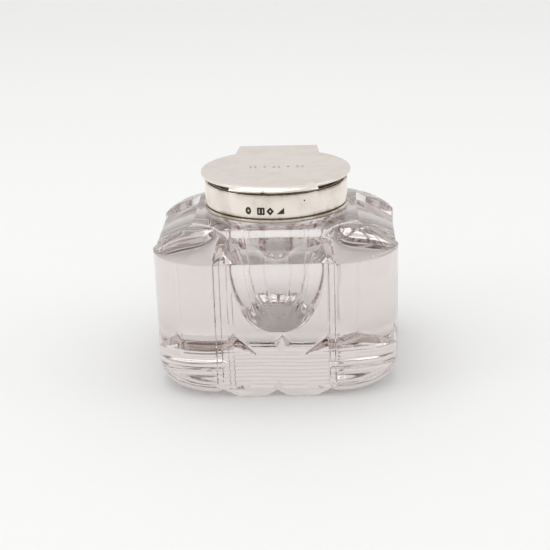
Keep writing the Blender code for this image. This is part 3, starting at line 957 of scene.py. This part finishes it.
@dataclass
class Lid:
    """The flat silver lid with its thumb lip, hinge tab, bezel and drop ring."""

    silver: bpy.types.Material
    inside: bpy.types.Material
    # Near-black silver of the bezel: painted shade in the gap under the lid.
    dark: bpy.types.Material
    engraved: bpy.types.Material
    thickness: float = 0.8 * MM
    edge_round: float = 0.25 * MM
    lip_half: float = 11.3 * MM
    lip_out: float = 0.8 * MM
    lip_bend: float = 1.2 * MM
    lip_drop: float = 1.0 * MM
    lip_thinning: float = 0.42 * MM
    tab_half: float = 11.2 * MM
    tab_root_half: float = 11.9 * MM
    tab_back_y: float = 25.5 * MM
    nick_x: float = -2.6 * MM
    nick_depth: float = 0.35 * MM
    bezel_inner: float = 16.6 * MM
    drop_ring_inner: float = 13.9 * MM
    ring_round: float = 0.2 * MM
    ornament_y: float = 1.2 * MM
    ornament_depth: float = 0.06 * MM
    segments: int = 256

    def __post_init__(self) -> None:
        """Take the plate's top and radius from the frame."""
        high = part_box("lid_plate")[1]
        self.top = high.z
        self.radius = high.x

    def angles(self) -> np.ndarray:
        """Degrees round the lid, close together at each step and corner of its outline."""
        lip = math.degrees(math.asin(self.lip_half / self.radius))
        root = math.degrees(math.acos(self.tab_root_half / self.radius))
        corner = math.degrees(math.atan2(self.tab_back_y, self.tab_half))
        end = lip + 0.15
        marks = [-90 - end, -90 - lip, -90 + lip, -90 + end, root, corner, 180 - corner, 180 - root]
        even = np.arange(-150.0, 210.0, 1.25)
        kept = [a for a in even if min(abs(a - mark) for mark in marks) > 0.4]
        return np.array(sorted(kept + marks))

    def edge_radius(self, degrees: float) -> float:
        """Distance from the axis to the lid's edge in this direction."""
        x = math.cos(math.radians(degrees))
        y = math.sin(math.radians(degrees))
        slack = 0.001 * MM
        if y < 0 and abs(x) * self.radius <= self.lip_half + slack:
            nick = self.nick_depth * math.exp(-((x * self.radius - self.nick_x) / (0.45 * MM)) ** 2)
            return self.radius + self.lip_out - nick
        if y > 0 and abs(x) * self.radius < self.tab_root_half - slack:
            root_y = math.sqrt(self.radius ** 2 - self.tab_root_half ** 2)
            lean = (self.tab_root_half - self.tab_half) / (self.tab_back_y - root_y)
            to_side = (self.tab_half + lean * self.tab_back_y) / (abs(x) + lean * y)
            return min(self.tab_back_y / y, to_side)
        return self.radius

    def drop(self, degrees: float, radius: float) -> float:
        """How far the thumb lip is bent down at this place."""
        return self.lip_drop * self.lip_share(degrees, radius) ** 1.5

    def lip_share(self, degrees: float, radius: float) -> float:
        """How far out on the thumb lip this place is: 0 off the lip, 1 at its edge."""
        x = math.cos(math.radians(degrees))
        if math.sin(math.radians(degrees)) > 0 or abs(x) * self.radius > self.lip_half + 0.001 * MM:
            return 0.0
        bend_start = self.radius - self.lip_bend
        return max(0.0, (radius - bend_start) / (self.radius + self.lip_out - bend_start))

    def ring_radius(self, degrees: float, inset: float) -> float:
        """Distance from the axis to a ring this far inside the edge, round again within the lip."""
        edge = self.edge_radius(degrees)
        if self.lip_share(degrees, edge) == 0.0:
            return edge - inset
        return self.radius - inset + (edge - self.radius) * max(0.0, 1.0 - inset / self.lip_bend)

    def plate(self) -> None:
        """The plate, slightly uneven, with its bent lip, nick and engraved ornament."""
        bottom = self.top - self.thickness
        insets = [5 * MM, 3 * MM, 2.0 * MM, 1.2 * MM, 0.7 * MM]
        levels = [(inset, self.top) for inset in insets]
        rim = arc((self.edge_round, self.top - self.edge_round), self.edge_round, 90, 180, 5)
        levels += [(x, z) for x, z in rim]
        levels += [(0.0, bottom + self.edge_round / 2), (self.edge_round / 2, bottom)]
        levels += [(inset, bottom) for inset in reversed(insets)]
        rings = []
        for inset, z in levels:
            ring = []
            for degrees in self.angles():
                radius = self.ring_radius(degrees, inset)
                angle = math.radians(degrees)
                height = z - self.drop(degrees, radius)
                if z < bottom + self.edge_round:
                    height += self.lip_thinning * self.lip_share(degrees, radius)
                ring.append((radius * math.cos(angle), radius * math.sin(angle), height))
            rings.append(np.array(ring))
        obj = add_piece("silver_lid", ring_mesh("silver_lid", rings, flat_ends=True), self.silver)
        carve(obj, self.ornament())
        obj.data.set_sharp_from_angle(angle=math.radians(40))
        for face in obj.data.polygons:
            face.use_smooth = abs(face.normal.z) < 0.9999
        place(obj, Body.LID, Slot.SILVER, "lid_plate")

    def ornament(self) -> list[bpy.types.Object]:
        """Thin cuts of a plain engraved ornament: three four-petal flowers with lozenges between."""
        cutters = []

        def cut(outline: list[tuple[float, float]], x: float, turn: float) -> None:
            """One cut of this outline, turned about its own middle."""
            mesh = prism("cut", outline, self.top - self.ornament_depth, self.top + 0.3 * MM)
            mesh.transform(Matrix.Translation((x, self.ornament_y, 0.0)) @ Matrix.Rotation(turn, 4, "Z"))
            cutters.append(add_piece("cut", mesh, self.engraved))

        petal = [(0.35 * MM, 0.0), (0.9 * MM, -0.16 * MM), (1.6 * MM, 0.0), (0.9 * MM, 0.16 * MM)]
        lozenge = [(-0.42 * MM, 0.0), (0.0, -0.42 * MM), (0.42 * MM, 0.0), (0.0, 0.42 * MM)]
        for x in (-6.2 * MM, 0.2 * MM, 6.6 * MM):
            for quarter in range(4):
                cut(petal, x, math.radians(45 + 90 * quarter))
        for x in (-3.0 * MM, 3.4 * MM):
            cut(lozenge, x, 0.0)
        return cutters

    def ring(self, node: str, inner: float, material: bpy.types.Material) -> None:
        """A turned ring under the plate.

        Args:
            node: the frame's node that it stands for.
            inner: the ring's inner radius.
            material: its finish.
        """
        low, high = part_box(node)
        corners = [(high.x, low.z), (high.x, high.z), (inner, high.z), (inner, low.z)]
        rings = turned_rings(rounded(corners, self.ring_round), self.segments)
        name = f"fine_{node}"
        obj = add_piece(name, ring_mesh(name, rings, wrap=True), material)
        place(obj, Body.LID, Slot.SILVER_INSIDE, node)

    def build(self) -> None:
        """Make the lid's pieces."""
        self.plate()
        # The bezel gets the near-black silver: painted shade in the gap under the lid.
        self.ring("lid_bezel", self.bezel_inner, self.dark)
        self.ring("lid_drop_ring", self.drop_ring_inner, self.inside)


# ------------------------------------------------------------------ studio

@dataclass
class Studio:
    """The pale floor, the soft light and the camera."""

    focal: float = 91.6
    distance: float = 390 * MM
    height: float = 19.1
    azimuth: float = 2.5
    roll: float = 1.8
    aim: tuple[float, float, float] = (0.0, 0.0, 25.0 * MM)
    aim_right: float = -1.0 * MM
    aim_up: float = -1.8 * MM

    def camera(self) -> None:
        """The camera, to the right of the front and a little above."""
        turn = math.radians(self.azimuth)
        rise = math.radians(self.height)
        back = Vector((math.sin(turn) * math.cos(rise), -math.cos(turn) * math.cos(rise), math.sin(rise)))
        data = bpy.data.cameras.new("camera")
        data.lens = self.focal
        data.sensor_width = 36.0
        data.clip_start = 0.01
        data.clip_end = 20.0
        camera = bpy.data.objects.new("camera", data)
        look = (-back).to_track_quat("-Z", "Y").to_matrix().to_4x4()
        look = look @ Matrix.Rotation(-math.radians(self.roll), 4, "Z")
        shift = look.to_3x3() @ Vector((self.aim_right, self.aim_up, 0.0))
        camera.matrix_world = Matrix.Translation(Vector(self.aim) + shift + back * self.distance) @ look
        bpy.context.scene.collection.objects.link(camera)
        bpy.context.scene.camera = camera

    def floor(self) -> None:
        """A wide pale floor."""
        mesh = bpy.data.meshes.new("floor")
        bm = bmesh.new()
        bmesh.ops.create_grid(bm, x_segments=8, y_segments=8, size=4.0)
        bm.to_mesh(mesh)
        bm.free()
        material, sheet, shader = new_material("pale_floor")
        place_node = sheet.add("ShaderNodeTexCoord")
        grain = sheet.add("ShaderNodeTexNoise", Scale=300.0, Detail=4.0)
        sheet.link(place_node.outputs["Object"], grain.inputs["Vector"])
        tone = sheet.blend(grain.outputs["Fac"], (0.925, 0.925, 0.925), (0.94, 0.94, 0.94))
        sheet.link(tone, shader.inputs["Base Color"])
        shader.inputs["Roughness"].default_value = 0.6
        shader.inputs["Specular IOR Level"].default_value = 0.1
        add_piece("floor", mesh, material)

    def world(self) -> None:
        """Soft white all round, warmer behind and dimmer in front."""
        world = bpy.data.worlds.new("soft_room")
        world.use_nodes = True
        sheet = NodeSheet(world.node_tree)
        background = world.node_tree.nodes["Background"]
        place_node = sheet.add("ShaderNodeTexCoord")
        split = sheet.add("ShaderNodeSeparateXYZ")
        sheet.link(place_node.outputs["Generated"], split.inputs["Vector"])
        rise = sheet.ramp(split.outputs["Z"], 0.3, 0.5)
        front = sheet.ramp(sheet.math("MULTIPLY", split.outputs["Y"], -1.0), 0.55, 0.95)
        room = sheet.blend(front, (0.92, 0.92, 0.915), (0.62, 0.60, 0.56))
        lean = sheet.ramp(sheet.math("MULTIPLY", split.outputs["Y"], -1.0), 0.1, 0.6)
        above = sheet.blend(lean, (1.08, 1.08, 1.08), (0.90, 0.89, 0.87))
        sky = sheet.blend(rise, room, above)
        sheet.link(sky, background.inputs["Color"])
        background.inputs["Strength"].default_value = 0.85
        bpy.context.scene.world = world

    def softbox(self, name: str, size: tuple[float, float], power: float, at: tuple[float, float, float],
                colour: tuple[float, float, float] = (1.0, 1.0, 1.0)) -> None:
        """An area light that faces the object.

        Args:
            name: the light's name.
            size: its width and height.
            power: watts.
            at: its place.
            colour: its colour.
        """
        data = bpy.data.lights.new(name, "AREA")
        data.shape = "RECTANGLE"
        data.size, data.size_y = size
        data.energy = power
        data.color = colour
        light = bpy.data.objects.new(name, data)
        toward = Vector(self.aim) - Vector(at)
        light.matrix_world = Matrix.Translation(at) @ toward.to_track_quat("-Z", "Y").to_matrix().to_4x4()
        bpy.context.scene.collection.objects.link(light)

    def front_card(self) -> None:
        """A beige card in front of the object, seen only in mirror images and through the glass."""
        mesh = bpy.data.meshes.new("front_card")
        turns = np.radians(np.linspace(-156.0, -66.0, 25))
        reach = 0.42
        rows = [[(reach * math.cos(a), reach * math.sin(a), z) for a in turns] for z in (0.0, 0.22)]
        bm = bmesh.new()
        low, high = [[bm.verts.new(point) for point in row] for row in rows]
        for i in range(len(turns) - 1):
            bm.faces.new((low[i], low[i + 1], high[i + 1], high[i]))
        bm.to_mesh(mesh)
        bm.free()
        material, _, shader = new_material("beige_card")
        shader.inputs["Base Color"].default_value = (0.62, 0.58, 0.49, 1.0)
        shader.inputs["Roughness"].default_value = 0.9
        card = add_piece("front_card", mesh, material)
        card.visible_camera = False
        card.visible_diffuse = False
        card.visible_shadow = False

    def build(self) -> None:
        """Set up the studio."""
        scene = bpy.context.scene
        scene.view_settings.view_transform = "Standard"
        scene.cycles.transmission_bounces = 24
        scene.cycles.glossy_bounces = 12
        scene.cycles.max_bounces = 32
        self.floor()
        self.world()
        self.softbox("top_softbox", (0.5, 0.5), 0.75, (-0.1, 0.05, 0.75))
        self.softbox("left_softbox", (0.35, 0.5), 0.45, (-0.6, -0.25, 0.35))
        self.softbox("right_softbox", (0.3, 0.5), 0.3, (0.6, -0.1, 0.35))
        self.front_card()
        self.camera()


def main() -> None:
    """Build the sub-assemblies in order, then the studio."""
    logging.basicConfig(level=logging.INFO, format="%(name)s: %(message)s")
    shelf = EffectShelf()
    band_low, band_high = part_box("collar_band")
    # The band's rim value paints shade along its top and bottom edges, standing in for the shade under the
    # lid's lip.
    band_silver = SilverFinish("band_silver", tarnish=0.34, painted_rim_shade=0.85, low=band_low.z,
                               high=band_high.z).build(shelf)
    lid_silver = SilverFinish("lid_silver", tarnish=0.18, painted_rim_shade=0.0, roughness=0.2).build(shelf)
    hinge_silver = SilverFinish("hinge_silver", tarnish=0.3, painted_rim_shade=0.0, roughness=0.2).build(shelf)
    inside = SilverFinish("inside_silver", colour=(0.80, 0.76, 0.70), tarnish_and_shade_colour=(0.40, 0.32, 0.25),
                          tarnish=0.4, painted_rim_shade=0.0, roughness=0.35).build(shelf)
    # Near-black silver for the lid's bezel: painted shade for the gap under the lid; its tarnish value
    # darkens it further.
    dark = SilverFinish("bezel_shade_silver", colour=(0.20, 0.17, 0.14), tarnish_and_shade_colour=(0.05, 0.04, 0.03),
                        tarnish=0.9, painted_rim_shade=0.0, roughness=0.5).build(shelf)
    recess = SilverFinish("blackened_silver", colour=(0.10, 0.09, 0.08), tarnish_and_shade_colour=(0.02, 0.02, 0.02),
                          tarnish=0.8, painted_rim_shade=0.0, roughness=0.45).build(shelf)
    glass = GlassFinish("old_glass").build(shelf)
    plaster = PlasterFinish("neck_plaster").build(shelf)

    GlassBlock(glass).build()
    Collar(band_silver, inside, recess, plaster).build()
    Hinge(hinge_silver).build()
    Lid(lid_silver, inside, dark, recess).build()
    Studio().build()


if __name__ == "__main__":
    main()
